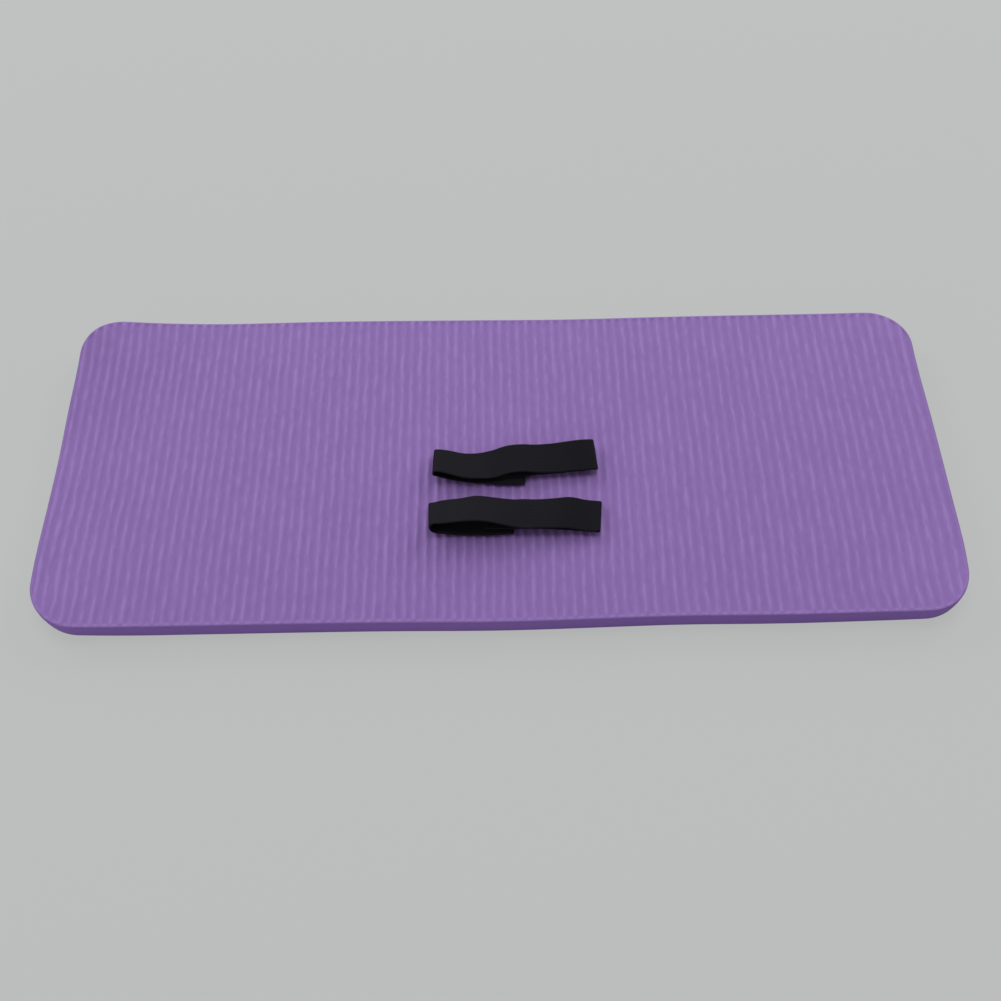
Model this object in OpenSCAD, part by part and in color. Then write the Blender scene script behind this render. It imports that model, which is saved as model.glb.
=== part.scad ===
// Ribbed foam kneeling pad with two elastic straps lying on it.
// Origin: centre of the underside. +X runs along the pad, +Y to its rear edge, +Z up.

/* [Pad] */
// Length of the pad
pad_l = 600; // [400:10:900]
// Width of the pad, front to rear
pad_w = 250; // [180:5:400]
// Thickness of the pad over its ribs
pad_t = 12.5; // [8:0.5:25]
// Radius of the pad's corners, seen from above
corner_r = 32; // [12:1:60]
// Rounding of the pad's upper and lower edges
edge_r = 1; // [0.5:0.5:4]

/* [Grip ribs] */
// Spacing of the ribs along the pad
rib_pitch = 6.5; // [5:0.5:12]
// Height of a rib
rib_h = 0.8; // [0.3:0.1:1.2]
// Width of a rib at its crest
rib_crest_w = 1.6; // [0.8:0.1:2]
// Width of a rib at its foot
rib_foot_w = 3.4; // [2.4:0.1:4.5]
// Plain strip between the ribs and the rounded edge
rib_margin = 1; // [0.5:0.5:5]

/* [Straps] */
// Width of the elastic webbing
band_w = 23; // [18:1:30]
// Thickness of the elastic webbing
band_t = 1.3; // [0.9:0.1:1.8]
// Length of a strap's loop as it lies, fold to fold
strap_l = 111; // [90:1:140]
// Overlap of the webbing's two sewn ends
lap_l = 20; // [16:1:26]
// Gap between a strap and the pad's rib crests
seat_gap = 0.3; // [0.2:0.05:0.6]
// Gap between two layers of webbing that lie on each other
layer_gap = 0.15; // [0.1:0.05:0.4]

/* [Stitching] */
// Thickness of the sewing thread
thread_d = 0.5; // [0.3:0.1:0.7]
// Length of one stitch
stitch_l = 2.5; // [1.5:0.5:4]
// Distance of each stitch row from the end of the lap
stitch_inset = 4; // [3:0.5:6]
// Distance of a row's outermost stitch from the edge of the webbing
stitch_margin = 1.5; // [1:0.5:4]
// Room around the thread in its needle hole
needle_room = 0.1; // [0.05:0.05:0.2]

/* [Hidden] */
$fn = 48;

foam_purple = "#8a6cab";
webbing_black = "#222224";
thread_black = "#1a1a1c";

core_t = pad_t - 2 * rib_h;
rib_count_each_side = floor((pad_l / 2 - edge_r - rib_margin - rib_foot_w / 2) / rib_pitch);

// Heights of the middle of the webbing: on the pad, and in the lap, which rides on its stitches
band_z = pad_t + seat_gap + band_t / 2;
lap_z = band_z + thread_d;
layer = band_t + layer_gap;
leg_gap = 0.05;
climb_l = 20;
route_steps = 4;

// A strap: where its middle lies on the pad, its turn seen from above, how much longer it lies than
// strap_l, where its outer cut end lies along it, how far the outer half of its lower run strays sideways
// (at the fold, at the lap's inner end, at its own cut end), how far the inner half does (at the fold, where
// it climbs to the lap, on the lap), and its left and right folds, each with its height, its turn, and its
// tilt below and above.
// Sideways is towards the rear, and a positive tilt lifts the front edge.
REAR = [10.8, -6.7, 3, -1, 7, [3.4, -4.2, -5.8], [3.4, 2.2, 0], [4.6, -5, 8, 15], [5, 2, 0, -8]];
FRONT = [9.8, -49.7, -2, 2, 0.5, [-2.4, -2.7, -1.3], [1, 3.3, 1.6], [4.4, 4, 7, 20], [3, -4, 0, -2]];

function half_l(strap) = (strap_l + strap[3]) / 2;
function lap_end(strap) = strap[4];
function lap_in(strap) = strap[4] - lap_l;
function left_fold(strap) = strap[7];
function right_fold(strap) = strap[8];

// The upper run between the folds: along, sideways, layers below, lift above those layers, tilt
rear_upper = [
    [-half_l(REAR) + 11, 1.8, 1, 2.8, 11],
    [-half_l(REAR) + 21, -1, 1, 1.9, 9],
    [lap_in(REAR) - 11, -1.6, 1, 1.5, 7],
    [lap_in(REAR) - 2, -1.5, 2, thread_d + 0.4, 2],
    [lap_in(REAR) + 8, 0.5, 2, thread_d + 1.8, 1],
    [lap_end(REAR) - 2, 0.6, 2, thread_d + 2.5, 1],
    [lap_end(REAR) + 8, 0.8, 1, 2.4, -1],
    [lap_end(REAR) + 19, 0.6, 1, 2.3, -4],
    [half_l(REAR) - 20, 0.8, 1, 2.9, -6],
    [half_l(REAR) - 10, 0.8, 1, 3.6, -9]
];
front_upper = [
    [-half_l(FRONT) + 9, 0.4, 1, 4, 16],
    [-half_l(FRONT) + 20, 0.8, 1, 5.9, 16],
    [lap_in(FRONT) - 6, 1, 1, 7.9, 12],
    [lap_in(FRONT) + 4, 1, 2, thread_d + 4.5, 12],
    [lap_in(FRONT) + 14, 0.6, 2, thread_d + 2.3, 8],
    [lap_end(FRONT) + 5, 0.2, 2, thread_d + 1, 3],
    [lap_end(FRONT) + 15, 0.6, 1, 3, 3],
    [lap_end(FRONT) + 25, 0.7, 1, 3.7, 0],
    [half_l(FRONT) - 20, 1.1, 1, 3.7, -6],
    [half_l(FRONT) - 10, 0.1, 1, 2.1, -6]
];

// Outline and ribs of the pad

// Half the pad's width at a place along it, less an inset all round
function half_width(x, inset) =
    let (past = max(0, abs(x) - (pad_l / 2 - corner_r)), r = corner_r - inset)
    pad_w / 2 - corner_r + sqrt(max(0, r * r - past * past));

// The pad's rounded edge: its section from the corner's centre outwards
module edge_section() {
    square([corner_r - edge_r, core_t]);
    translate([0, edge_r]) square([corner_r, core_t - 2 * edge_r]);
    for (z = [edge_r, core_t - edge_r]) translate([corner_r - edge_r, z]) circle(edge_r);
}

module edge_strip(length) {
    rotate([90, 0, 0]) linear_extrude(length, center = true) edge_section();
}

module core() {
    long = pad_l - 2 * corner_r;
    wide = pad_w - 2 * corner_r;
    translate([-long / 2, -wide / 2, 0]) cube([long, wide, core_t]);
    for (side = [0, 180]) rotate(side) {
        translate([long / 2, 0, 0]) edge_strip(wide);
        translate([0, wide / 2, 0]) rotate(90) edge_strip(long);
        translate([long / 2, wide / 2, 0]) rotate_extrude(angle = 90) edge_section();
        translate([-long / 2, wide / 2, 0]) rotate(90) rotate_extrude(angle = 90) edge_section();
    }
}

// A rib standing on the plane z = 0, along Y
module rib(length) {
    rotate([90, 0, 0]) linear_extrude(length, center = true) polygon([
        [-rib_foot_w / 2, 0],
        [rib_foot_w / 2, 0],
        [rib_crest_w / 2, rib_h],
        [-rib_crest_w / 2, rib_h]
    ]);
}

module ribs() {
    for (i = [-rib_count_each_side : rib_count_each_side]) {
        x = i * rib_pitch;
        outer_x = abs(x) + rib_foot_w / 2;
        translate([x, 0, 0]) rib(2 * half_width(outer_x, edge_r + rib_margin));
    }
}

module foam_pad() {
    color(foam_purple) {
        translate([0, 0, rib_h]) core();
        translate([0, 0, pad_t - rib_h]) ribs();
        translate([0, 0, rib_h]) mirror([0, 0, 1]) ribs();
    }
}

// Route of a strap's webbing, from its outer cut end round the loop to its inner cut end.
// A station is [along, sideways, height, turn of the width, tilt of the width].

function mix(a, b, t) = a + (b - a) * t;
// Middle of webbing that rests on the pad by one edge
function rest_z(tilt) = band_z + band_w / 2 * sin(abs(tilt));

// Sideways place of the two halves of the lower run at x
function outer_stray(strap, x) =
    let (s = strap[5], in = lap_in(strap))
    x > in ? mix(s[1], s[2], (x - in) / lap_l) : mix(s[1], s[0], (in - x) / (in + half_l(strap)));
function inner_stray(strap, x) =
    let (s = strap[6], end = lap_end(strap), foot = end + climb_l)
    x < foot ? mix(s[2], s[1], max(0, x - end) / climb_l) :
    mix(s[1], s[0], (x - foot) / (half_l(strap) - foot));
function outer_turn(strap, x) = atan(outer_stray(strap, x + 0.5) - outer_stray(strap, x - 0.5));
function inner_turn(strap, x) = atan(inner_stray(strap, x + 0.5) - inner_stray(strap, x - 0.5));

// Half circle at a fold, from one side's station to the other's; out is -1 at the left, 1 at the right
function fold(strap, out, from, to) =
    let (r = (to[2] - from[2]) / 2, x = half_l(strap) - band_t / 2 - abs(r))
    [for (k = [0 : 4])
        let (a = -90 + 45 * k, s = mix(from, to, k / 4))
        [out * (x + abs(r) * cos(a)), s[1], from[2] + r * (1 + sin(a)), s[3], s[4]]];

function outer_run(strap) =
    let (end = lap_end(strap), in = lap_in(strap), lean = left_fold(strap)[2] / 2)
    [for (s = [[end, lap_z, 0], [end - lap_l / 2, lap_z, 0], [in, lap_z, 0], [in - 5, lap_z, 0],
               [in - 15, band_z, 0], [-half_l(strap) + 12, rest_z(lean), lean]])
        [s[0], outer_stray(strap, s[0]), s[1], outer_turn(strap, s[0]), s[2]]];

function inner_run(strap) =
    let (end = lap_end(strap), in = lap_in(strap), top_z = lap_z + layer)
    [for (s = [[half_l(strap) - 10, band_z], [end + 22, band_z], [end + 13, band_z + layer / 2],
               [end + 4, top_z], [end, top_z], [end - lap_l / 2, top_z], [in, top_z]])
        [s[0], inner_stray(strap, s[0]), s[1], inner_turn(strap, s[0]), 0]];

function upper_run(upper) =
    [for (s = upper) [s[0], s[1], band_z + s[2] * layer + s[3], 0, s[4]]];

function route(strap, upper) =
    let (
        l = left_fold(strap),
        r = right_fold(strap),
        stray_l = strap[5][0],
        low_left = [0, stray_l, rest_z(l[2]), l[1], l[2]],
        top_left = [0, mix(stray_l, upper[0][1], 0.5), rest_z(l[2]) + l[0], l[1], l[3]],
        low_right = [0, strap[6][0], rest_z(r[2]), r[1], r[2]],
        top_right = [0, upper[len(upper) - 1][1], rest_z(r[2]) + r[0], r[1], r[3]]
    )
    concat(
        outer_run(strap),
        fold(strap, -1, low_left, top_left),
        upper_run(upper),
        fold(strap, 1, top_right, low_right),
        inner_run(strap)
    );

// A smooth curve through the stations: a cubic between each two, with slopes taken over the neighbours
// and stations spaced by the root of their distance
function gap(p, i) = sqrt(norm(place(p[i + 1]) - place(p[i])));
function rise(p, i) = (p[i + 1] - p[i]) / gap(p, i);
function slope(p, i) =
    i == 0 ? rise(p, 0) :
    i == len(p) - 1 ? rise(p, i - 1) :
    (rise(p, i - 1) * gap(p, i) + rise(p, i) * gap(p, i - 1)) / (gap(p, i - 1) + gap(p, i));
function between(p, i, u) =
    mix(p[i], p[i + 1], 3 * u ^ 2 - 2 * u ^ 3)
    + gap(p, i) * (slope(p, i) * (u - 2 * u ^ 2 + u ^ 3) + slope(p, i + 1) * (u ^ 3 - u ^ 2));
function smooth(p) =
    [for (i = [0 : len(p) - 2]) for (k = [0 : route_steps - 1]) between(p, i, k / route_steps),
     p[len(p) - 1]];

function unit(v) = v / norm(v);
function place(s) = [s[0], s[1], s[2]];
// The webbing's width points to the rear, turned in plan and tilted
function across(s) = [-sin(s[3]) * cos(s[4]), cos(s[3]) * cos(s[4]), -sin(s[4])];

// Four corners of the webbing's section at station i of a smooth route
function section(path, i) =
    let (
        ahead = unit(place(path[min(i + 1, len(path) - 1)]) - place(path[max(i - 1, 0)])),
        wide = across(path[i]) * band_w / 2,
        thick = unit(cross(ahead, wide)) * band_t / 2
    )
    [for (c = [wide + thick, thick - wide, -wide - thick, wide - thick]) place(path[i]) + c];

module webbing(path) {
    last = len(path) - 1;
    points = [for (i = [0 : last]) each section(path, i)];
    sides = [for (i = [0 : last - 1]) for (k = [0 : 3])
        let (a = 4 * i + k, b = 4 * i + (k + 1) % 4)
        each [[a, a + 4, b], [b, a + 4, b + 4]]];
    ends = [[0, 1, 2], [0, 2, 3], [4 * last, 4 * last + 2, 4 * last + 1],
            [4 * last, 4 * last + 3, 4 * last + 2]];
    polyhedron(points, concat(sides, ends));
}

// Stitches: rows across the lap, on the width that both ends share

function row_x(strap) = [lap_end(strap) - stitch_inset, lap_in(strap) + stitch_inset];
function row_y(strap, x) = (outer_stray(strap, x) + inner_stray(strap, x)) / 2;
function row_count(strap, x) =
    floor((band_w - abs(outer_stray(strap, x) - inner_stray(strap, x)) - 2 * stitch_margin) / stitch_l);

// Its children at each needle hole of both rows
module at_needle_holes(strap) {
    for (x = row_x(strap)) {
        n = row_count(strap, x);
        for (i = [0 : n]) translate([x, row_y(strap, x) + (i - n / 2) * stitch_l, 0]) children();
    }
}

module stitch_rows(strap) {
    low = lap_z - band_t / 2 - leg_gap - thread_d;
    high = lap_z + layer + band_t / 2 + leg_gap;
    pin_d = 0.8 * thread_d;
    at_needle_holes(strap) translate([0, 0, low + thread_d / 2]) cylinder(h = high - low, d = pin_d);
    for (x = row_x(strap), z = [low, high]) {
        length = row_count(strap, x) * stitch_l + thread_d;
        translate([x - thread_d / 2, row_y(strap, x) - length / 2, z]) cube([thread_d, length, thread_d]);
    }
}

module lay(strap) {
    translate([strap[0], strap[1], 0]) rotate(strap[2]) children();
}

module strap_band(strap, upper) {
    color(webbing_black) lay(strap) difference() {
        webbing(smooth(route(strap, upper)));
        at_needle_holes(strap) translate([0, 0, lap_z - band_t]) {
            cylinder(h = layer + 2 * band_t, d = thread_d + 2 * needle_room);
        }
    }
}

module strap_stitching(strap) {
    color(thread_black) lay(strap) stitch_rows(strap);
}

module rear_strap_band() { strap_band(REAR, rear_upper); }
module rear_strap_stitching() { strap_stitching(REAR); }
module front_strap_band() { strap_band(FRONT, front_upper); }
module front_strap_stitching() { strap_stitching(FRONT); }

foam_pad();
rear_strap_band();
rear_strap_stitching();
front_strap_band();
front_strap_stitching();
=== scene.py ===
"""Ribbed foam kneeling pad with two loose elastic straps, modelled over its CAD frame."""
import math

import bpy
import numpy as np
from bpy.props import FloatProperty, FloatVectorProperty, IntProperty, PointerProperty
from mathutils import Matrix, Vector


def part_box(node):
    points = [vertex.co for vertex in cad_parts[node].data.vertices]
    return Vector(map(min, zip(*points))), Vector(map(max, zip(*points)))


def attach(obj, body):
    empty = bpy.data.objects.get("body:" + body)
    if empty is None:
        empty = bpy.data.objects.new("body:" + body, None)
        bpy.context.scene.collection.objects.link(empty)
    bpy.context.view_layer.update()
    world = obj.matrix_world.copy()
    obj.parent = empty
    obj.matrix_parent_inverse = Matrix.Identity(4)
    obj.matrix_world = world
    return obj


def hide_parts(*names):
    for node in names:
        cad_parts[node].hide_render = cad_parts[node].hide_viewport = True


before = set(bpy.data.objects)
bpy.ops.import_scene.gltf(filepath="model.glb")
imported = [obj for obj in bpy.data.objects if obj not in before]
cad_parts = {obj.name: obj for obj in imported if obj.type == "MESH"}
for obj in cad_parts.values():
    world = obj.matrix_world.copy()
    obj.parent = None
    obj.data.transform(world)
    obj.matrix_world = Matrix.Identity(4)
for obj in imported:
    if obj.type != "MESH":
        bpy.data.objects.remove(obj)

bl_info = {
    "name": "Kneeling pad",
    "version": (1, 0, 0),
    "blender": (4, 5, 0),
    "location": "View3D > Sidebar > Kneeling pad",
    "description": "Builds a ribbed foam kneeling pad and its elastic straps",
    "category": "Object",
}

MM = 0.001
# The pad's half length, half width and thickness
PAD_HALF_X, PAD_HALF_Y, PAD_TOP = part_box("foam_pad")[1]


# Settings


class FoamSettings(bpy.types.PropertyGroup):
    """Sizes and colours of the foam pad."""

    edge_radius: FloatProperty(
        name="Edge rounding",
        description="Rounding of the upper and lower edges",
        default=1 * MM,
        unit="LENGTH",
    )
    rib_pitch: FloatProperty(
        name="Rib spacing",
        description="Even spacing that the ribs drift from",
        default=6.55 * MM,
        unit="LENGTH",
    )
    rib_height: FloatProperty(
        name="Rib height",
        description="Height of a rib above its valley",
        default=0.8 * MM,
        unit="LENGTH",
    )
    rib_wander: FloatProperty(
        name="Rib wander",
        description="How far a rib strays from a straight line",
        default=0.38 * MM,
        unit="LENGTH",
    )
    # The foam's colour as lit, the light end of its tone, which the painted highlight along the crests
    # reaches
    lit_crest_colour: FloatVectorProperty(
        name="Crest colour",
        description="Foam on the crests",
        default=(0.296, 0.176, 0.479),
        subtype="COLOR",
    )
    # The foam's colour as shaded, the dark end of its tone, which the painted shade in the valleys reaches
    shaded_valley_colour: FloatVectorProperty(
        name="Valley colour",
        description="Foam in the valleys",
        default=(0.236, 0.132, 0.397),
        subtype="COLOR",
    )
    # A darker colour for the upper rounding along the rear and the ends, fading out towards the front
    rim_colour: FloatVectorProperty(
        name="Rim colour",
        description="Foam pressed dark along the rim",
        default=(0.105, 0.085, 0.13),
        subtype="COLOR",
    )
    side_colour: FloatVectorProperty(
        name="Side colour",
        description="Foam on the cut sides",
        default=(0.217, 0.115, 0.402),
        subtype="COLOR",
    )


class StrapSettings(bpy.types.PropertyGroup):
    """Sizes and colours of the straps."""

    width: FloatProperty(
        name="Webbing width", description="Width of the webbing", default=23 * MM, unit="LENGTH"
    )
    thickness: FloatProperty(
        name="Webbing thickness", description="Thickness of the webbing", default=1.3 * MM, unit="LENGTH"
    )
    length: FloatProperty(
        name="Lying length", description="Length of a loop, fold to fold", default=111 * MM, unit="LENGTH"
    )
    lap: FloatProperty(name="Lap", description="Overlap of the sewn ends", default=20 * MM, unit="LENGTH")
    seat_gap: FloatProperty(
        name="Seat gap",
        description="Gap between a strap and the rib crests",
        default=0.3 * MM,
        unit="LENGTH",
    )
    layer_gap: FloatProperty(
        name="Layer gap", description="Gap between layers of webbing", default=0.15 * MM, unit="LENGTH"
    )
    thread: FloatProperty(
        name="Thread", description="Thickness of the sewing thread", default=0.5 * MM, unit="LENGTH"
    )
    stitch: FloatProperty(name="Stitch", description="Length of a stitch", default=2.5 * MM, unit="LENGTH")
    cords: IntProperty(name="Cords", description="Rubber cords across the webbing's width", default=20)
    cord_depth: FloatProperty(
        name="Cord depth",
        description="Depth of the grooves between the cords",
        default=0.12 * MM,
        unit="LENGTH",
    )
    webbing_colour: FloatVectorProperty(
        name="Webbing colour", description="Woven elastic", default=(0.0155, 0.0148, 0.019), subtype="COLOR"
    )
    thread_colour: FloatVectorProperty(
        name="Thread colour", description="Sewing thread", default=(0.012, 0.012, 0.013), subtype="COLOR"
    )


class StageSettings(bpy.types.PropertyGroup):
    """The floor, the light and the camera."""

    backdrop_colour: FloatVectorProperty(
        name="Backdrop colour",
        description="Pale floor as the camera sees it",
        default=(0.515, 0.527, 0.521),
        subtype="COLOR",
    )
    camera_place: FloatVectorProperty(
        name="Camera place",
        description="Where the camera stands",
        default=(-0.0026, -0.5053, 0.7166),
        subtype="TRANSLATION",
    )
    camera_yaw: FloatProperty(
        name="Camera yaw",
        description="Turn to the right of +Y",
        default=math.radians(0.39),
        subtype="ANGLE",
    )
    camera_pitch: FloatProperty(
        name="Camera pitch",
        description="Angle below the horizon",
        default=math.radians(56.27),
        subtype="ANGLE",
    )
    camera_roll: FloatProperty(
        name="Camera roll", description="Clockwise roll", default=math.radians(0.73), subtype="ANGLE"
    )
    lens: FloatProperty(name="Lens", description="Focal length on the sensor, in mm", default=45.95)
    sky: FloatProperty(name="Sky", description="Strength of the even light from all round", default=0.21)
    softboxes: FloatProperty(
        name="Softboxes", description="Power of a softbox whose share is 1", default=230, unit="POWER"
    )


# Shader values


class Shade:
    """One value in a shader tree: arithmetic on it adds Math nodes, and node() adds any other."""

    def __init__(self, tree, socket=None):
        self.tree = tree
        self.socket = socket

    def plug(self, socket, value):
        """Links a Shade to a socket, or sets a plain value on it."""
        if isinstance(value, Shade):
            self.tree.links.new(value.socket, socket)
        else:
            socket.default_value = value

    def node(self, kind, settings=None, inputs=None, output=0):
        """Adds a node: its type, its settings, the values or links of its sockets, the output to return."""
        added = self.tree.nodes.new(kind)
        for name, value in (settings or {}).items():
            setattr(added, name, value)
        for key, value in (inputs or {}).items():
            self.plug(added.inputs[key], value)
        return Shade(self.tree, added.outputs[output])

    def maths(self, operation, *values):
        """A Math node on values, any of which may be plain numbers."""
        return self.node("ShaderNodeMath", {"operation": operation}, dict(enumerate(values)))

    def __add__(self, other):
        return self.maths("ADD", self, other)

    def __sub__(self, other):
        return self.maths("SUBTRACT", self, other)

    def __rsub__(self, other):
        return self.maths("SUBTRACT", other, self)

    def __mul__(self, other):
        return self.maths("MULTIPLY", self, other)

    def __pow__(self, other):
        return self.maths("POWER", self, other)

    __radd__ = __add__
    __rmul__ = __mul__

    def swing(self, size):
        """How far this value is from a half, times a size."""
        return (self - 0.5) * size

    def between(self, low, high):
        """From low where this value is 0 to high where it is 1."""
        return low + self * (high - low)

    def held(self):
        """This value kept between 0 and 1."""
        return self.node("ShaderNodeClamp", None, {0: self})

    def mix(self, a, b):
        """Colour a where this value is 0 and colour b where it is 1.

        A Mix node has its colours at inputs 6 and 7 and its mixed colour at output 2.
        """
        return self.node("ShaderNodeMix", {"data_type": "RGBA"}, {0: self, 6: a, 7: b}, 2)

    def also(self, output):
        """Another output of the node that this value comes from."""
        return Shade(self.tree, self.socket.node.outputs[output])

    def attribute(self, name):
        """A number that the mesh gives for each point."""
        return self.node("ShaderNodeAttribute", {"attribute_name": name}, output="Fac")

    def noise(self, place, scale, detail=2.0, stretch=(1, 1, 1)):
        """Noise from 0 to 1 at a place, with a pattern of that scale per metre, stretched along each axis."""
        placed = self.node("ShaderNodeMapping", None, {"Vector": place, "Scale": stretch})
        return self.node("ShaderNodeTexNoise", None, {"Vector": placed, "Scale": scale, "Detail": detail})

    def wave(self, value, turns):
        """A cosine of a value, from 0 to 1: it is 1 at 0 and goes through that many turns per unit."""
        return 0.5 + 0.5 * self.maths("COSINE", value * (2 * math.pi * turns))


def colour(rgb):
    """A colour with full alpha, as a socket takes it."""
    return (*rgb, 1.0)


def shaded(rgb, share):
    """A colour darkened to a share of itself."""
    return colour(share * c for c in rgb)


def new_material(name):
    """An empty node material: the material, its tree as a Shade, and its surface shader."""
    material = bpy.data.materials.new(name)
    material.use_nodes = True
    tree = material.node_tree
    return material, Shade(tree), tree.nodes["Principled BSDF"]


def bump(shade, shader, height, distance):
    """Feeds a height from 0 to 1, worth that distance in metres, to a shader's normal."""
    normal = shade.node("ShaderNodeBump", None, {"Height": height, "Strength": 1.0, "Distance": distance})
    shade.plug(shader.inputs["Normal"], normal)


# Meshes


def add_mesh(name, points, faces, material, uv=None, attributes=None):
    """A smooth mesh object at the origin.

    uv is a map's name and one pair per point, and attributes give one number per point by name.
    """
    mesh = bpy.data.meshes.new(name)
    mesh.from_pydata(points.tolist(), [], faces)
    mesh.polygons.foreach_set("use_smooth", np.ones(len(mesh.polygons), bool))
    corner_points = np.empty(len(mesh.loops), np.int32)
    mesh.loops.foreach_get("vertex_index", corner_points)
    if uv is not None:
        layer = mesh.uv_layers.new(name=uv[0])
        layer.uv.foreach_set("vector", np.asarray(uv[1], np.float32)[corner_points].ravel())
    for key, values in (attributes or {}).items():
        data = mesh.attributes.new(key, "FLOAT", "POINT").data
        data.foreach_set("value", np.asarray(values, np.float32))
    mesh.materials.append(material)
    mesh.update()
    obj = bpy.data.objects.new(name, mesh)
    bpy.context.collection.objects.link(obj)
    return obj


def ring_faces(rings, count):
    """Quads between successive closed rings of count points each, numbered ring by ring."""
    a = np.arange(rings - 1)[:, None] * count + np.arange(count)
    b = np.arange(rings - 1)[:, None] * count + (np.arange(count) + 1) % count
    return np.stack([a, b, b + count, a + count], -1).reshape(-1, 4)


def smooth_noise(rng, x, y, size_x, size_y, waves=24, spread=0.4):
    """A smooth random field near -1 to 1.

    It is a sum of plane waves in all directions, whose lengths spread round size_x and size_y by that share.
    """
    angle = rng.uniform(0, 2 * math.pi, waves)
    reach = rng.uniform(1 - spread, 1 + spread, waves)
    phase = rng.uniform(0, 2 * math.pi, waves)
    total = np.zeros(np.broadcast(x, y).shape)
    for a, r, p in zip(angle, reach, phase):
        total += np.cos(2 * math.pi * (np.cos(a) * x / size_x + np.sin(a) * y / size_y) * r + p)
    return total / math.sqrt(waves)


def ease(t):
    """Smooth step: 0 below 0, 1 above 1, and a cubic between."""
    t = np.clip(t, 0, 1)
    return t * t * (3 - 2 * t)


# The foam pad

# Each corner, by its sides along x and y: its radius, how far it stands off the floor, how far its underside
# is drawn in, and how far from the corner both reach, in millimetres
CORNERS = {
    (-1, 1): (30, 8.5, 0, 120),
    (1, 1): (31, 1, 0, 85),
    (-1, -1): (32.5, 2, 2.4, 85),
    (1, -1): (31.5, 3.5, 2, 85),
}
# Where a cut edge strays from straight: place along it, reach and size, in millimetres
EDGE_STRAYS = {
    "rear": ((-120, 60, 0.8), (50, 60, -1.1)),
    "front": ((0, 60, -1.2), (115, 40, 0.6), (235, 35, 0.6)),
    "left": ((5, 35, 0.6), (-70, 30, -0.7), (-112, 18, 0.8), (95, 40, 1.8)),
    "right": ((-106, 22, -2.3), (75, 35, -0.8)),
}
# A stray fades across the pad as this power of the nearness to its edge
STRAY_POWER = 4
# How the rib count drifts from even spacing: powers of x and y, as shares of half the pad, and size in ribs
RIB_DRIFT = (
    (0, 0, 1.6),
    (1, 0, 1.55),
    (2, 0, -0.65),
    (3, 0, -1),
    (4, 0, -0.3),
    (0, 1, -0.05),
    (1, 1, -0.04),
    (2, 1, 0.1),
    (0, 2, 0.07),
    (1, 2, -0.05),
)
# The random fields that shift the ribs and those that change their height, by their sizes along x and y
RIB_SEED = 7
RIB_SHIFTS = ((30 * MM, 60 * MM), (9 * MM, 20 * MM))
RIB_GAINS = ((12 * MM, 50 * MM), (7 * MM, 16 * MM))
# A rib's usual height as a share of the full height, what each field adds to it, and its limits
RIB_GAIN, RIB_GAIN_SWING, RIB_GAIN_LIMITS = 0.8, 0.14, (0.2, 1.2)
# A rib is a raised cosine to this power
RIB_POWER = 1.5
# How far inside the border the ribs start to rise from half height, and the stretch over which they do
RIB_FADE_START, RIB_FADE = 0.4 * MM, 1.4 * MM
# The grid's columns: how many per rib, the stretch at each end over which they close up and by how much, and
# the fine steps in which their places are looked up
RIB_COLUMNS = 8
END_REACH, END_CLOSENESS = 40 * MM, 1.5
FINE_STEPS = 4001
# The grid's rows: how many are even, how far inside the edges these start, and insets of the closer ones
PAD_ROWS, ROWS_INSET = 44, 4 * MM
EDGE_ROWS = (0, 0.6 * MM, 1.3 * MM, 2.2 * MM)
# Rings on each rounded edge and on the wall between them, and how far the wall bulges
ROUNDING_RINGS, WALL_RINGS = 3, 3
WALL_BULGE = 0.25 * MM
# The foam's skin reaches down to this share of the upper rounding, and the wall has the tone of this crest,
# which gives the skin on the upper rounding a painted highlight along the top edge
SKIN_SHARE = 0.4
WALL_HIGHLIGHT_CREST = 0.8

# The foam's patterns: their scales per metre, with the streaks drawn out along the ribs
STREAK_SCALE, STREAK_DETAIL, STREAK_STRETCH = 420, 3.0, (1, 0.26, 1)
CELL_SCALE = 2600
PATCH_SCALE = 30
# How sharply the streaks break up the ridges and the grooves
STREAK_CONTRAST = 3
# The foam's tone runs from 0, the valley colour, to 1, the crest colour: its usual value, what the ridges add
# as a painted highlight and the grooves take away as painted shade, at the weakest and at the strongest
# streak, and what streaks and patches change
FOAM_TONE = 0.21
RIDGE_HIGHLIGHT_POWER, RIDGE_HIGHLIGHT_TONES = 2.2, (0.3, 1.7)
GROOVE_SHADE_POWER, GROOVE_SHADE_TONES = 6, (0.28, 0.05)
TONE_SWING = 0.4
# The share of the rim's colour on the rim
RIM_SHARE = 0.5
FOAM_ROUGHNESS, FOAM_ROUGHNESS_SWING, FOAM_SPECULAR = 0.72, 0.2, 0.25
# Depth of the pitted skin, and the cells' share in it, the rest being streaks
PIT_DEPTH, CELL_SHARE = 0.15 * MM, 0.6


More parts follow.
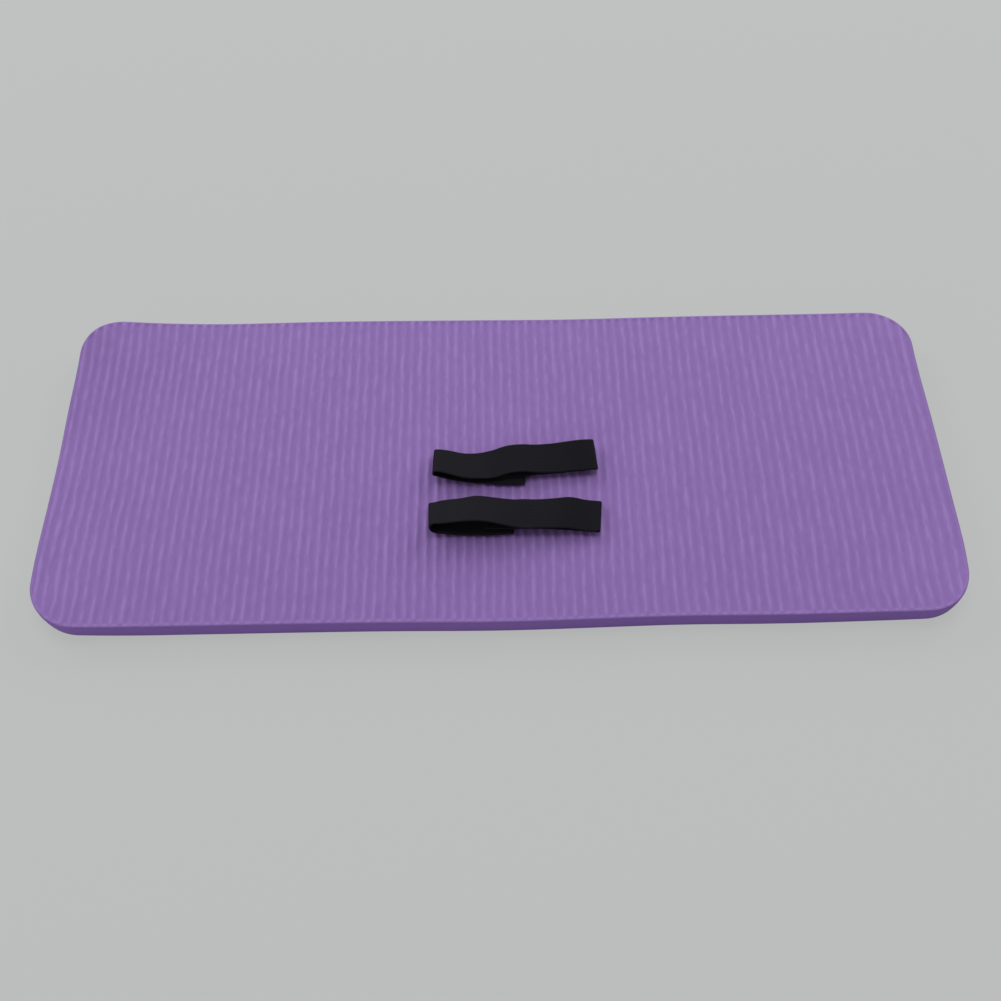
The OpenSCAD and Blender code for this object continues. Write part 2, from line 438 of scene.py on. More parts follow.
def foam_material(settings):
    """Closed-cell foam with a fine pitted skin.

    Its tone is a painted highlight along each crest and painted shade along each valley, both powers of the
    crest attribute and broken up by streaks along the ribs, with the streaks and cloudy patches over all. The
    cut sides have their own colour, and the upper rounding along the rear and the ends is darkened towards
    the rim colour, fading out towards the front.
    """
    material, shade, shader = new_material("purple_foam")
    place = shade.node("ShaderNodeTexCoord", output="Object")
    crest, side, rim = (shade.attribute(name) for name in ("crest", "side", "rim"))
    streaks = shade.noise(place, STREAK_SCALE, STREAK_DETAIL, STREAK_STRETCH)
    cells = shade.noise(place, CELL_SCALE)
    patches = shade.noise(place, PATCH_SCALE)
    broken = (0.5 + streaks.swing(STREAK_CONTRAST)).held()
    # ridge is a painted highlight along the crests, and groove is painted shade along the valleys
    ridge = crest**RIDGE_HIGHLIGHT_POWER * broken.between(*RIDGE_HIGHLIGHT_TONES)
    groove = (1 - crest) ** GROOVE_SHADE_POWER * broken.between(*GROOVE_SHADE_TONES)
    tone = FOAM_TONE + ridge - groove + streaks.swing(TONE_SWING) + patches.swing(TONE_SWING)
    skin = tone.held().mix(colour(settings.shaded_valley_colour), colour(settings.lit_crest_colour))
    foam = side.mix(skin, colour(settings.side_colour))
    shade.plug(shader.inputs["Base Color"], (rim * RIM_SHARE).mix(foam, colour(settings.rim_colour)))
    shade.plug(shader.inputs["Roughness"], FOAM_ROUGHNESS + cells.swing(FOAM_ROUGHNESS_SWING))
    shader.inputs["Specular IOR Level"].default_value = FOAM_SPECULAR
    bump(shade, shader, cells * CELL_SHARE + streaks * (1 - CELL_SHARE), PIT_DEPTH)
    return material


def rib_count(x, y, pitch):
    """Number of ribs from the middle to a place: x over the pitch, and a polynomial in x and y for drift."""
    share_x, share_y = x / PAD_HALF_X, y / PAD_HALF_Y
    return x / pitch + sum(size * share_x**i * share_y**j for i, j, size in RIB_DRIFT)


def pad_columns(half, pitch):
    """Places along the pad: even shares of a rib, then closing up at each end as a sine does."""
    straight = half - END_REACH
    fine = np.linspace(-straight, straight, FINE_STEPS)
    count = rib_count(fine, 0 * fine, pitch)
    first, last = math.ceil(count[0] * RIB_COLUMNS), math.floor(count[-1] * RIB_COLUMNS)
    middle = np.interp(np.arange(first, last + 1) / RIB_COLUMNS, count, fine)
    turn = np.linspace(0, math.pi / 2, int(END_CLOSENESS * END_REACH / pitch * RIB_COLUMNS))[1:]
    end = straight + END_REACH * np.sin(turn)
    return np.concatenate([-end[::-1], middle, end])


def pad_outline(x, side, inset):
    """y of the rear (side 1) or front (-1) edge at x: straight, with an arc of each corner's radius."""
    y = np.full_like(x, PAD_HALF_Y - inset)
    for end in (-1, 1):
        radius = CORNERS[end, side][0] * MM - inset
        past = np.clip(end * x - (PAD_HALF_X - inset - radius), 0, radius)
        y -= radius - np.sqrt(radius**2 - past**2)
    return side * y


def pad_grid(edge, pitch):
    """Grid points as x, y and how far inside the border each lies, each array with a row for every column.

    A point's y is a share of the way from the front edge to the rear edge at its x, so that the grid's border
    follows the outline, drawn in by the edge's rounding.
    """
    columns = pad_columns(PAD_HALF_X - edge, pitch)
    front, rear = (pad_outline(columns, side, edge)[:, None] for side in (-1, 1))
    closer = np.array(EDGE_ROWS) / PAD_HALF_Y
    limit = 1 - ROWS_INSET / PAD_HALF_Y
    share = np.concatenate([closer - 1, np.linspace(-limit, limit, PAD_ROWS), 1 - closer[::-1]])
    y = (front + rear) / 2 + (rear - front) / 2 * share
    x = np.repeat(columns[:, None], len(share), 1)
    inside = np.minimum(np.minimum(y - front, rear - y), PAD_HALF_X - edge - np.abs(x))
    return x, y, inside


def pad_ribs(settings, rng, x, y, inside):
    """Rib height at each grid point, from 0 in a valley to 1 on a crest.

    A rib is a power of a raised cosine of the rib count. Two random fields shift the count, two more change
    the rib's height along it, and the ribs fade to half height at the border.
    """
    shift = sum(smooth_noise(rng, x, y, *size) for size in RIB_SHIFTS) / len(RIB_SHIFTS)
    count = rib_count(x + shift * settings.rib_wander, y, settings.rib_pitch)
    gain = RIB_GAIN + RIB_GAIN_SWING * sum(smooth_noise(rng, x, y, *size) for size in RIB_GAINS)
    height = np.clip(gain, *RIB_GAIN_LIMITS) * (0.5 + 0.5 * np.cos(2 * math.pi * count)) ** RIB_POWER
    return 0.5 + (height - 0.5) * ease((inside - RIB_FADE_START) / RIB_FADE)


def wall_rings(edge, wall):
    """Rings from the top grid's border to the bottom grid's, as (reach outwards, share of the way down).

    They are a quarter circle, a wall that bulges as half a sine, and a quarter circle.
    """
    turn = np.linspace(0, math.pi / 2, ROUNDING_RINGS + 1)[1:]
    upper = np.stack([edge * np.sin(turn), edge * (1 - np.cos(turn)) / wall], -1)
    down = np.linspace(edge / wall, 1 - edge / wall, WALL_RINGS + 2)[1:-1]
    bulge = np.stack([edge + WALL_BULGE * np.sin(math.pi * down), down], -1)
    lower = np.stack([upper[::-1, 0], 1 - upper[::-1, 1]], -1)
    return np.concatenate([upper, bulge, lower])


def corner_share(corner, reach, x, y):
    """How near a place is to a corner: 1 at the corner, falling as a square to 0 at its reach."""
    away = np.hypot(corner[0] * PAD_HALF_X - x, corner[1] * PAD_HALF_Y - y)
    return np.clip(1 - away / (reach * MM), 0, 1) ** 2


def pad_lift(x, y):
    """Height of the pad's bent corners: each rises with its share of the corner."""
    lift = np.zeros_like(x)
    for corner, (_, height, _, reach) in CORNERS.items():
        lift += height * MM * corner_share(corner, reach, x, y)
    return lift


def pad_tuck(points):
    """Draws each corner's underside in along its diagonal, less the higher and the farther from it."""
    x, y, z = points.T.copy()
    for corner, (_, _, tuck, reach) in CORNERS.items():
        share = corner_share(corner, reach, x, y) * (1 - z / PAD_TOP)
        points[:, :2] -= np.array(corner) * math.sqrt(0.5) * (tuck * MM * share)[:, None]


def pad_stray(points):
    """Moves points sideways with the strays of the cut edges, each a bell curve that fades across the pad."""
    x, y = points[:, 0] / MM, points[:, 1] / MM

    def stray(name, along, nearness):
        bells = (size * np.exp(-(((along - at) / reach) ** 2)) for at, reach, size in EDGE_STRAYS[name])
        return sum(bells) * nearness**STRAY_POWER * MM

    rear = np.clip(0.5 + points[:, 1] / PAD_HALF_Y / 2, 0, 1)
    left = np.clip(0.5 - points[:, 0] / PAD_HALF_X / 2, 0, 1)
    points[:, 0] += stray("left", y, left) + stray("right", y, 1 - left)
    points[:, 1] += stray("rear", x, rear) + stray("front", x, 1 - rear)


def pad_surface(settings):
    """The pad: a ribbed top grid and a ribbed bottom grid whose borders are joined by the wall's rings.

    It returns the points, the faces and three numbers for each point: crest is the rib's height, and on the
    wall a fixed crest that paints a highlight on the skin of the upper rounding, side is 1 on the cut sides,
    and rim is 1 on the upper rounding, fading out where that faces the front.
    """
    rng = np.random.default_rng(RIB_SEED)
    edge = settings.edge_radius
    x, y, inside = pad_grid(edge, settings.rib_pitch)
    sheets, crests = [], []
    for face in (1, -1):
        height = pad_ribs(settings, rng, x, y, inside)
        z = PAD_TOP / 2 + face * (PAD_TOP / 2 - settings.rib_height * (1 - height))
        sheets.append(np.stack([x, y, z], -1).reshape(-1, 3))
        crests.append(height.ravel())
    top, bottom = sheets

    number = np.arange(x.size).reshape(x.shape)
    border = np.concatenate([number[:-1, 0], number[-1, :-1], number[:0:-1, -1], number[0, :0:-1]])
    ahead = np.roll(top[border, :2], -1, 0) - np.roll(top[border, :2], 1, 0)
    out = np.stack([ahead[:, 1], -ahead[:, 0]], -1) / np.linalg.norm(ahead, axis=1, keepdims=True)
    wall = top[0, 2] - bottom[0, 2]
    rings = wall_rings(edge, wall)
    loops = top[border] + (bottom[border] - top[border]) * rings[:, 1, None, None]
    loops[:, :, :2] += out * rings[:, 0, None, None]
    points = np.concatenate([top, bottom, loops.reshape(-1, 3)])
    lift = pad_lift(points[:, 0], points[:, 1])
    pad_tuck(points)
    pad_stray(points)
    points[:, 2] += lift

    grid = np.stack([number[:-1, :-1], number[1:, :-1], number[1:, 1:], number[:-1, 1:]], -1).reshape(-1, 4)
    total, shape = x.size, (len(rings), len(border))
    ladder = [border, *(2 * total + np.arange(math.prod(shape)).reshape(shape)), total + border]
    walls = [np.stack([a, b, np.roll(b, -1), np.roll(a, -1)], -1) for a, b in zip(ladder, ladder[1:])]
    faces = np.concatenate([grid, total + grid[:, ::-1], *walls])

    below_skin = rings[:, 1] >= SKIN_SHARE * edge / wall
    side = np.repeat(below_skin[:, None], len(border), 1)
    rim = np.zeros(shape)
    rim[:ROUNDING_RINGS] = np.clip(1 + 2 * out[:, 1], 0, 1)
    flat = np.zeros(2 * total)
    attributes = {
        # On the wall, the fixed crest gives the skin of the upper rounding a painted highlight
        "crest": np.concatenate([*crests, np.full(side.size, WALL_HIGHLIGHT_CREST)]),
        "side": np.concatenate([flat, side.ravel()]),
        "rim": np.concatenate([flat, rim.ravel()]),
    }
    return points, faces.tolist(), attributes


class PAD_OT_foam_pad(bpy.types.Operator):
    """Builds the ribbed foam pad"""

    bl_idname = "kneeling_pad.foam_pad"
    bl_label = "Foam pad"

    def execute(self, context):
        settings = context.scene.pad_foam
        points, faces, attributes = pad_surface(settings)
        pad = add_mesh("foam_pad_skin", points, faces, foam_material(settings), attributes=attributes)
        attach(pad, "pad")
        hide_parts("foam_pad")
        return {"FINISHED"}


# The straps

# How each strap lies, in millimetres and degrees, as in the CAD model. Its middle has a place on the pad and
# a turn, its length differs a little, and the lap's outer end lies past the middle. The strays are how far
# the lower run lies to the rear: its outer half at the left fold, the lap's inner end and its outer end, and
# its inner half at the right fold, at the foot of the climb and on the lap. A fold has its height, its turn,
# and its tilt below and above, where a positive tilt lifts the front edge. The slant is the slope of the
# outer cut end.
STRAPS = {
    "rear_strap": {
        "place": (10.8, -6.7),
        "turn": 3,
        "extra_length": -1,
        "lap_end": 7,
        "outer_stray": (3.4, -4.2, -5.8),
        "inner_stray": (3.4, 2.2, 0),
        "left_fold": (4.6, -5, 8, 15),
        "right_fold": (5, 2, 0, -8),
        "end_slant": 0.1,
    },
    "front_strap": {
        "place": (9.8, -49.7),
        "turn": -2,
        "extra_length": 2,
        "lap_end": 0.5,
        "outer_stray": (-2.4, -2.7, -1.3),
        "inner_stray": (1, 3.3, 1.6),
        "left_fold": (4.4, 4, 7, 20),
        "right_fold": (3, -4, 0, -2),
        "end_slant": 0.15,
    },
}
# The upper run between the folds: where along the strap (from the left fold, the lap's inner end, its outer
# end or the right fold), how far to the rear, layers of webbing below, lift above those layers, tilt
UPPER_RUNS = {
    "rear_strap": (
        ("left", 11, 1.8, 1, 2.8, 11),
        ("left", 21, -1, 1, 1.9, 9),
        ("lap_in", -11, -1.6, 1, 1.5, 7),
        ("lap_in", -2, -1.5, 2, 0.9, 2),
        ("lap_in", 8, 0.5, 2, 2.3, 1),
        ("lap_end", -2, 0.6, 2, 3, 1),
        ("lap_end", 8, 0.8, 1, 2.4, -1),
        ("lap_end", 19, 0.6, 1, 2.3, -4),
        ("right", -20, 0.8, 1, 2.9, -6),
        ("right", -10, 0.8, 1, 3.6, -9),
    ),
    "front_strap": (
        ("left", 9, 0.4, 1, 4, 16),
        ("left", 20, 0.8, 1, 5.9, 16),
        ("lap_in", -6, 1, 1, 7.9, 12),
        ("lap_in", 4, 1, 2, 5, 12),
        ("lap_in", 14, 0.6, 2, 2.8, 8),
        ("lap_end", 5, 0.2, 2, 1.5, 3),
        ("lap_end", 15, 0.6, 1, 3, 3),
        ("lap_end", 25, 0.7, 1, 3.7, 0),
        ("right", -20, 1.1, 1, 3.7, -6),
        ("right", -10, 0.1, 1, 2.1, -6),
    ),
}
# The lower run past the lap: how far its outer half stays level and where it is down on the pad, and how far
# its inner half stays level, where it is halfway and where it is down
OUTER_LEVEL, OUTER_DOWN = 5 * MM, 15 * MM
INNER_LEVEL, INNER_HALFWAY, INNER_DOWN = 4 * MM, 13 * MM, 22 * MM
# The length of the climb to the lap over which the inner half's stray changes
CLIMB = 20 * MM
# How far before the folds the lower run has its last stations, and stations on the half circle of each fold
BEFORE_LEFT_FOLD, BEFORE_RIGHT_FOLD = 12 * MM, 10 * MM
FOLD_STATIONS = 5
# Rings of the webbing from one station to the next, and its points across each cord
PATH_STEPS, CORD_POINTS = 6, 6
# The webbing's rounded edges: the power that rounds them, and places of closer points as shares of half the
# width
SELVEDGE_POWER = 60
SELVEDGE_POINTS = (0.998, 0.993)
# The stretch over which the slant of the outer cut end fades
SLANT_FADE = 16 * MM
# The stitch rows' distance from the lap's ends and from the webbing's edges
STITCH_INSET, STITCH_MARGIN = 4 * MM, 1.5 * MM
# How far the thread bows out of its needle holes, in radii, and its points round it and along a stitch
THREAD_BOW = 1.6
THREAD_SIDES, THREAD_STEPS = 8, 8

# The weave: spacing of the wefts, their tone where they dip between the cords, which is painted shade, and
# the scale of the fibres
WEFT_PITCH, WEFT_DIP = 0.9 * MM, 0.55
FIBRE_SCALE = 3000
# What weave and fibres add to the tone, from the painted shade between the cords to the full colour
WEAVE_TONE, FIBRE_TONE, WEBBING_SHADE = 0.7, 0.5, 0.55
# Roughness between the cords and on them
WEBBING_ROUGHNESS, WEBBING_SPECULAR = (0.9, 0.75), 0.03
# Depth of the weave's relief, and the wefts' share in it, the rest being fibres
WEFT_DEPTH, WEFT_SHARE = 0.08 * MM, 0.7
# The thread's plies, the length of their twist and its relief, and the painted shade between them
PLIES, TWIST_PITCH, TWIST_DEPTH, THREAD_SHADE = 2, 0.6 * MM, 0.06 * MM, 0.5
THREAD_ROUGHNESS, THREAD_SPECULAR = 0.7, 0.1


def webbing_material(settings):
    """Woven elastic: cords along the strap, crossed by fine wefts, on the strap's own UV map in metres."""
    material, shade, shader = new_material("black_elastic")
    where = shade.node("ShaderNodeUVMap", {"uv_map": "webbing"})
    across = shade.node("ShaderNodeSeparateXYZ", None, {0: where})
    along = across.also(1)
    cords = shade.wave(across, settings.cords / settings.width) ** 0.5
    wefts = shade.wave(along, 1 / WEFT_PITCH)
    fibres = shade.noise(where, FIBRE_SCALE)
    weave = cords * wefts.between(WEFT_DIP, 1)
    # The weave's part of the tone paints shade between the cords and where the wefts dip; the fibres' part is
    # random tone
    tone = (weave * WEAVE_TONE + fibres * FIBRE_TONE).held()
    dark = shaded(settings.webbing_colour, WEBBING_SHADE)
    shade.plug(shader.inputs["Base Color"], tone.mix(dark, colour(settings.webbing_colour)))
    shade.plug(shader.inputs["Roughness"], weave.between(*WEBBING_ROUGHNESS))
    shader.inputs["Specular IOR Level"].default_value = WEBBING_SPECULAR
    bump(shade, shader, cords * wefts * WEFT_SHARE + fibres * (1 - WEFT_SHARE), WEFT_DEPTH)
    return material


def thread_material(settings):
    """Twisted sewing thread: a twist of plies on its own UV map, in turns round it and metres along it."""
    material, shade, shader = new_material("black_thread")
    where = shade.node("ShaderNodeUVMap", {"uv_map": "thread"})
    around = shade.node("ShaderNodeSeparateXYZ", None, {0: where})
    along = around.also(1)
    twist = shade.wave(around * PLIES + along * (1 / TWIST_PITCH), 1)
    # The twist's low parts, between the plies, take painted shade
    dark = shaded(settings.thread_colour, THREAD_SHADE)
    shade.plug(shader.inputs["Base Color"], twist.mix(dark, colour(settings.thread_colour)))
    shader.inputs["Roughness"].default_value = THREAD_ROUGHNESS
    shader.inputs["Specular IOR Level"].default_value = THREAD_SPECULAR
    bump(shade, shader, twist, TWIST_DEPTH)
    return material


class Strap:
    """One strap's route, from its outer cut end round the loop to its inner cut end.

    A station is (along, sideways, height, turn of the width, tilt of the width) in the strap's own frame,
    whose middle lies at its place on the pad. Lengths are in metres and angles in degrees.
    """

    def __init__(self, name, settings):
        lie = STRAPS[name]
        self.lie = lie
        self.name = name
        self.size = settings
        self.half = settings.length / 2 + lie["extra_length"] * MM / 2
        self.end = lie["lap_end"] * MM
        self.inner = self.end - settings.lap
        self.band_z = PAD_TOP + settings.seat_gap + settings.thickness / 2
        self.lap_z = self.band_z + settings.thread
        self.layer = settings.thickness + settings.layer_gap

    def rest_z(self, tilt):
        """Height of the middle of webbing that rests on the pad by one edge."""
        return self.band_z + self.size.width / 2 * math.sin(math.radians(abs(tilt)))

    def outer_stray(self, x):
        """Sideways place of the lower run's outer half: straight from the fold to the lap, and along it."""
        fold, lap, end = (value * MM for value in self.lie["outer_stray"])
        return float(np.interp(x, [-self.half, self.inner, self.end], [fold, lap, end]))

    def inner_stray(self, x):
        """Sideways place of the lower run's inner half: even on the lap, straight down the climb, and
        straight on to the fold."""
        fold, foot, lap = (value * MM for value in self.lie["inner_stray"])
        return float(np.interp(x, [self.end, self.end + CLIMB, self.half], [lap, foot, fold]))

    def turn_of(self, stray, x):
        """Turn of a stray at x, from its slope over a millimetre."""
        return math.degrees(math.atan((stray(x + 0.5 * MM) - stray(x - 0.5 * MM)) / MM))

    def fold(self, out, start, stop):
        """Half a circle from one side's station to the other's; out is -1 at the left and 1 at the right."""
        start, stop = np.array(start), np.array(stop)
        radius = (stop[2] - start[2]) / 2
        middle = self.half - self.size.thickness / 2 - abs(radius)
        share = np.linspace(0, 1, FOLD_STATIONS)
        angle = np.pi * (share - 0.5)
        stations = start + (stop - start) * share[:, None]
        stations[:, 0] = out * (middle + abs(radius) * np.cos(angle))
        stations[:, 2] = start[2] + radius * (1 + np.sin(angle))
        return stations

    def stations(self):
        """All stations: the lower run's outer half, the left fold, the upper run, the right fold and the
        lower run's inner half."""
        left, right = self.lie["left_fold"], self.lie["right_fold"]
        lap, top_z = self.size.lap, self.lap_z + self.layer
        anchors = {"left": -self.half, "lap_in": self.inner, "lap_end": self.end, "right": self.half}
        outer = [
            (self.end, self.lap_z, 0),
            (self.end - lap / 2, self.lap_z, 0),
            (self.inner, self.lap_z, 0),
            (self.inner - OUTER_LEVEL, self.lap_z, 0),
            (self.inner - OUTER_DOWN, self.band_z, 0),
            (-self.half + BEFORE_LEFT_FOLD, self.rest_z(left[2] / 2), left[2] / 2),
        ]
        inner = [
            (self.half - BEFORE_RIGHT_FOLD, self.band_z),
            (self.end + INNER_DOWN, self.band_z),
            (self.end + INNER_HALFWAY, self.band_z + self.layer / 2),
            (self.end + INNER_LEVEL, top_z),
            (self.end, top_z),
            (self.end - lap / 2, top_z),
            (self.inner, top_z),
        ]
        upper = [
            (anchors[anchor] + along * MM, side * MM, self.band_z + layers * self.layer + lift * MM, 0, tilt)
            for anchor, along, side, layers, lift, tilt in UPPER_RUNS[self.name]
        ]
        stray_left, stray_right = self.lie["outer_stray"][0] * MM, self.lie["inner_stray"][0] * MM
        low_z, high_z = self.rest_z(left[2]), self.rest_z(left[2]) + left[0] * MM
        low_left = (0, stray_left, low_z, left[1], left[2])
        top_left = (0, (stray_left + upper[0][1]) / 2, high_z, left[1], left[3])
        low_z, high_z = self.rest_z(right[2]), self.rest_z(right[2]) + right[0] * MM
        low_right = (0, stray_right, low_z, right[1], right[2])
        top_right = (0, upper[-1][1], high_z, right[1], right[3])
        return np.concatenate([
            [(x, self.outer_stray(x), z, self.turn_of(self.outer_stray, x), tilt) for x, z, tilt in outer],
            self.fold(-1, low_left, top_left),
            upper,
            self.fold(1, top_right, low_right),
            [(x, self.inner_stray(x), z, self.turn_of(self.inner_stray, x), 0) for x, z in inner],
        ])

    def path(self, steps):
        """A smooth curve through the stations: a cubic between each two, with slopes taken over the
        neighbours and stations spaced by the root of their distance."""
        p = self.stations()
        gap = np.sqrt(np.linalg.norm(np.diff(p[:, :3], axis=0), axis=1))[:, None]
        rise = np.diff(p, axis=0) / gap
        middle = (rise[:-1] * gap[1:] + rise[1:] * gap[:-1]) / (gap[:-1] + gap[1:])
        slope = np.concatenate([rise[:1], middle, rise[-1:]])
        u = np.linspace(0, 1, steps, endpoint=False)[None, :, None]
        a, b = p[:-1, None], p[1:, None]
        lean = slope[:-1, None] * (u - 2 * u**2 + u**3) + slope[1:, None] * (u**3 - u**2)
        curve = a + (b - a) * (3 * u**2 - 2 * u**3) + gap[:, None] * lean
        return np.concatenate([curve.reshape(-1, 5), p[-1:]])

    def to_pad(self, points):
        """Points of the strap's own frame, turned and put on the pad."""
        turn = math.radians(self.lie["turn"])
        c, s = math.cos(turn), math.sin(turn)
        place = np.array([*self.lie["place"], 0]) * MM
        return points @ np.array([[c, s, 0], [-s, c, 0], [0, 0, 1]]) + place

    def stitch_rows(self):
        """Needle holes of both rows across the lap: (x, y of each hole)."""
        for x in (self.end - STITCH_INSET, self.inner + STITCH_INSET):
            outer, inner = self.outer_stray(x), self.inner_stray(x)
            room = self.size.width - abs(outer - inner) - 2 * STITCH_MARGIN
            count = math.floor(room / self.size.stitch)
            yield x, (outer + inner) / 2 + (np.arange(count + 1) - count / 2) * self.size.stitch


def webbing_section(size):
    """The webbing's section as (share of half the width, share of half the thickness), from the rear edge
    over the upper side to the front edge and back under.

    Each side is flat with its ends rounded off, and scooped out between the cords, each of which is an arch
    of a cosine.
    """
    even = np.linspace(1, -1, size.cords * CORD_POINTS + 1)
    closer = np.array(SELVEDGE_POINTS)
    v = np.concatenate([even[:1], closer, even[1:-1], -closer[::-1], even[-1:]])
    cords = np.abs(np.cos(math.pi / 2 * size.cords * v))
    groove = 2 * size.cord_depth / size.thickness * (1 - cords)
    t = np.sqrt(1 - np.abs(v) ** SELVEDGE_POWER) * (1 - groove)
    return np.concatenate([v, v[-2:0:-1]]), np.concatenate([t, -t[-2:0:-1]])


def webbing_surface(strap):
    """The webbing's section carried along the strap's path, square to it, with both cut ends capped.

    It returns the points, the faces, the UV map as (across, along) in metres, and the webbing's length.
    """
    size = strap.size
    path = strap.path(PATH_STEPS)
    middle = path[:, :3]
    turn, tilt = np.radians(path[:, 3]), np.radians(path[:, 4])
    across = np.stack([-np.sin(turn) * np.cos(tilt), np.cos(turn) * np.cos(tilt), -np.sin(tilt)], -1)
    up = np.cross(np.gradient(middle, axis=0), across)
    up /= np.linalg.norm(up, axis=1, keepdims=True)
    v, t = webbing_section(size)
    points = middle[:, None] + across[:, None] * (v * size.width / 2)[None, :, None]
    points = points + up[:, None] * (t * size.thickness / 2)[None, :, None]
    run = np.concatenate([[0], np.cumsum(np.linalg.norm(np.diff(middle, axis=0), axis=1))])
    slant = strap.lie["end_slant"] * size.width / 2 * (1 - ease(run / SLANT_FADE))
    points[:, :, 0] += slant[:, None] * v
    uv = np.stack(np.broadcast_arrays(v[None] * size.width / 2, run[:, None]), -1)
    count = len(v)
    last = (len(path) - 1) * count
    faces = ring_faces(len(path), count).tolist()
    faces += [list(range(count - 1, -1, -1)), list(range(last, last + count))]
    return strap.to_pad(points.reshape(-1, 3)), faces, uv.reshape(-1, 2), run[-1]


class PAD_OT_strap_webbing(bpy.types.Operator):
    """Builds the webbing of both straps"""

    bl_idname = "kneeling_pad.strap_webbing"
    bl_label = "Strap webbing"

    def execute(self, context):
        settings = context.scene.pad_straps
        material = webbing_material(settings)
        for name in STRAPS:
            points, faces, uv, length = webbing_surface(Strap(name, settings))
            band = add_mesh(f"{name}_webbing", points, faces, material, ("webbing", uv))
            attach(band, name)
            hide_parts(f"{name}_band")
        return {"FINISHED"}


def thread_tube(middle, radius):
    """Rings of a round thread along points that keep to one x, each ring square to the thread.

    It returns the points and, for each, its turn round the thread.
    """
    around = np.arange(THREAD_SIDES) / THREAD_SIDES
    angle = 2 * math.pi * around[:, None, None]
    ahead = np.gradient(middle, axis=0)
    ahead /= np.linalg.norm(ahead, axis=1, keepdims=True)
    wide = np.array([1.0, 0, 0])
    ring = wide * np.cos(angle) + np.cross(wide, ahead) * np.sin(angle)
    return (middle + radius * ring).transpose(1, 0, 2), around


def thread_surface(strap):
    """Lockstitch rows: above and below the lap a round thread runs from hole to hole.

    It bows over each stitch as the root of a sine and dips into each needle hole.
    """
    size = strap.size
    radius = size.thread / 2
    low = strap.lap_z - size.thickness / 2
    high = strap.lap_z + strap.layer + size.thickness / 2
    points, faces, uv, start = [], [], [], 0
    for x, holes in strap.stitch_rows():
        share = np.arange((len(holes) - 1) * THREAD_STEPS + 1) / THREAD_STEPS
        bow = np.sqrt(np.abs(np.sin(math.pi * share)))
        along = np.interp(share, np.arange(len(holes)), holes)
        for level, out in ((high, 1), (low, -1)):
            height = level + out * (bow - 0.5) * radius * THREAD_BOW
            tube, around = thread_tube(np.stack([np.full_like(along, x), along, height], -1), radius)
            points.append(tube.reshape(-1, 3))
            uv.append(np.stack(np.broadcast_arrays(around[None], along[:, None]), -1).reshape(-1, 2))
            faces += (ring_faces(len(along), THREAD_SIDES)[:, ::-1] + start).tolist()
            stop = start + len(along) * THREAD_SIDES
            faces.append(list(range(start, start + THREAD_SIDES)))
            faces.append(list(range(stop - 1, stop - 1 - THREAD_SIDES, -1)))
            start = stop
    return strap.to_pad(np.concatenate(points)), faces, np.concatenate(uv)


class PAD_OT_strap_stitching(bpy.types.Operator):
    """Builds the stitching of both straps' laps"""

    bl_idname = "kneeling_pad.strap_stitching"
    bl_label = "Strap stitching"

    def execute(self, context):
        settings = context.scene.pad_straps
        material = thread_material(settings)
        for name in STRAPS:
            points, faces, uv = thread_surface(Strap(name, settings))
            thread = add_mesh(f"{name}_thread", points, faces, material, ("thread", uv))
            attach(thread, name)
            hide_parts(f"{name}_stitching")
        return {"FINISHED"}


# The stage

# The floor's half side, and how far it lies below the object, in metres
FLOOR_REACH, FLOOR_GAP = 20.0, 0.2 * MM
# The floor's grey, and how much of what the camera sees of it is the backdrop colour and how bright that is
FLOOR_GREY, PLAIN_SHARE, PLAIN_STRENGTH = 0.8, 0.88, 0.93
# The softboxes: turn to the left of the rear and rise above the floor, in degrees, and share of the power
SOFTBOXES = ((45, 20, 0.33), (-45, 20, 0.33), (0, 16, 0.1), (0, 70, 0.188), (140, 10, 0.14))
# A softbox's width and height, and its distance from the pad, in metres
SOFTBOX_SIZE, SOFTBOX_DISTANCE = (2.8, 1.8), 3.6
# The camera's sensor width, in millimetres
SENSOR_WIDTH = 36


def backdrop_rays(shade):
    """1 for a ray that shows the backdrop, straight, mirrored or through glass, and 0 for one that lights."""
    seen = shade.node("ShaderNodeLightPath", output="Is Camera Ray")
    return (seen + seen.also("Is Glossy Ray") + seen.also("Is Transmission Ray")).held()


def floor_material(settings):
    """Pale matt floor: what the camera sees is mostly the plain backdrop colour, so its shadow is light."""
    material, shade, shader = new_material("pale_floor")
    shader.inputs["Base Color"].default_value = colour([FLOOR_GREY] * 3)
    shader.inputs["Roughness"].default_value = 1.0
    shader.inputs["Specular IOR Level"].default_value = 0.0
    backdrop = {"Color": colour(settings.backdrop_colour), "Strength": PLAIN_STRENGTH}
    plain = shade.node("ShaderNodeEmission", None, backdrop)
    matt = Shade(shade.tree, shader.outputs[0])
    share = backdrop_rays(shade) * PLAIN_SHARE
    mixed = shade.node("ShaderNodeMixShader", None, {0: share, 1: matt, 2: plain})
    shade.plug(shade.tree.nodes["Material Output"].inputs["Surface"], mixed)
    return material


def sky_world(settings):
    """Even white light from all round, which shows as the plain backdrop colour."""
    world = bpy.data.worlds.new("even_light")
    world.use_nodes = True
    shade = Shade(world.node_tree)
    backdrop = {"Color": colour(settings.backdrop_colour), "Strength": 1.0}
    plain = shade.node("ShaderNodeBackground", None, backdrop)
    light = shade.node("ShaderNodeBackground", None, {"Color": (1, 1, 1, 1), "Strength": settings.sky})
    mixed = shade.node("ShaderNodeMixShader", None, {0: backdrop_rays(shade), 1: light, 2: plain})
    shade.plug(world.node_tree.nodes["World Output"].inputs["Surface"], mixed)
    return world


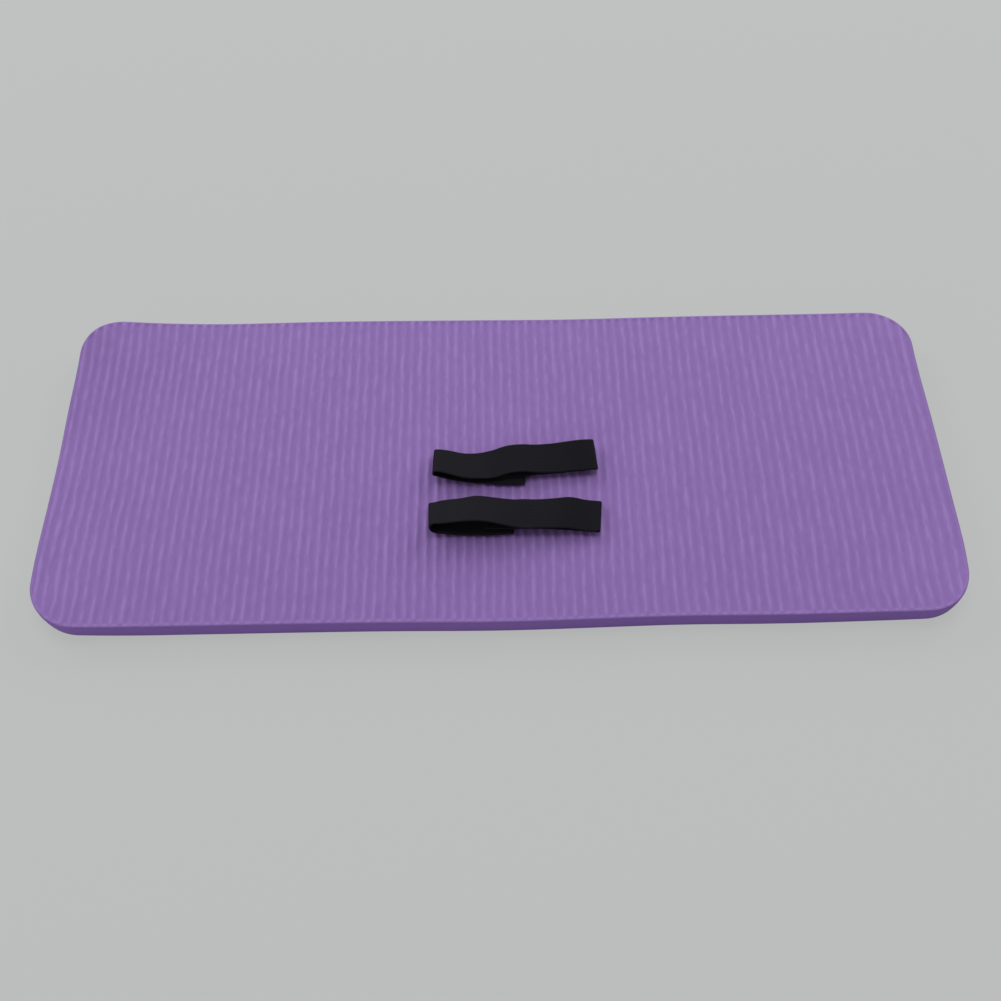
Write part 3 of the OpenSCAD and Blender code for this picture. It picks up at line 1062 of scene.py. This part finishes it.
def add_softbox(turn, rise, power):
    """A softbox that shines at the origin from a turn and a rise in degrees."""
    lamp = bpy.data.lights.new("softbox", "AREA")
    lamp.energy = power
    lamp.shape = "RECTANGLE"
    lamp.size, lamp.size_y = SOFTBOX_SIZE
    softbox = bpy.data.objects.new("softbox", lamp)
    softbox.matrix_world = (
        Matrix.Rotation(math.radians(turn), 4, "Z")
        @ Matrix.Rotation(math.radians(rise - 90), 4, "X")
        @ Matrix.Translation((0, 0, SOFTBOX_DISTANCE))
    )
    bpy.context.scene.collection.objects.link(softbox)


def add_camera(settings):
    """The camera at its place, looking along +Y before its yaw, pitch and roll."""
    lens = bpy.data.cameras.new("camera")
    lens.sensor_width = SENSOR_WIDTH
    lens.lens = settings.lens
    camera = bpy.data.objects.new("camera", lens)
    camera.matrix_world = (
        Matrix.Translation(settings.camera_place)
        @ Matrix.Rotation(-settings.camera_yaw, 4, "Z")
        @ Matrix.Rotation(math.pi / 2 - settings.camera_pitch, 4, "X")
        @ Matrix.Rotation(-settings.camera_roll, 4, "Z")
    )
    bpy.context.scene.collection.objects.link(camera)
    return camera


class PAD_OT_stage(bpy.types.Operator):
    """Builds the floor, the light and the camera"""

    bl_idname = "kneeling_pad.stage"
    bl_label = "Stage"

    def execute(self, context):
        scene = context.scene
        settings = scene.pad_stage
        corners = np.array([(-1, -1), (1, -1), (1, 1), (-1, 1)]) * FLOOR_REACH
        points = np.column_stack([corners, np.full(len(corners), -FLOOR_GAP)])
        floor = add_mesh("floor", points, [(0, 1, 2, 3)], floor_material(settings))
        scene.world = sky_world(settings)
        for turn, rise, share in SOFTBOXES:
            add_softbox(turn, rise, settings.softboxes * share)
        scene.camera = add_camera(settings)
        scene.view_settings.view_transform = "Standard"
        return {"FINISHED"}


class PAD_PT_pieces(bpy.types.Panel):
    """Lists the pieces, the stage and their settings"""

    bl_idname = "PAD_PT_pieces"
    bl_label = "Kneeling pad"
    bl_space_type = "VIEW_3D"
    bl_region_type = "UI"
    bl_category = "Kneeling pad"

    def draw(self, context):
        for operator in OPERATORS:
            self.layout.operator(operator.bl_idname)
        for group in SETTINGS:
            settings = getattr(context.scene, group)
            for key in settings.bl_rna.properties.keys():
                if key not in ("rna_type", "name"):
                    self.layout.prop(settings, key)


SETTINGS = {"pad_foam": FoamSettings, "pad_straps": StrapSettings, "pad_stage": StageSettings}
OPERATORS = (PAD_OT_foam_pad, PAD_OT_strap_webbing, PAD_OT_strap_stitching, PAD_OT_stage)
CLASSES = (*SETTINGS.values(), *OPERATORS, PAD_PT_pieces)


def register():
    for cls in CLASSES:
        bpy.utils.register_class(cls)
    for name, group in SETTINGS.items():
        setattr(bpy.types.Scene, name, PointerProperty(type=group))


def unregister():
    for name in SETTINGS:
        delattr(bpy.types.Scene, name)
    for cls in reversed(CLASSES):
        bpy.utils.unregister_class(cls)


def main():
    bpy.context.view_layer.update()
    register()
    bpy.ops.kneeling_pad.foam_pad()
    bpy.ops.kneeling_pad.strap_webbing()
    bpy.ops.kneeling_pad.strap_stitching()
    bpy.ops.kneeling_pad.stage()


if __name__ == "__main__":
    main()
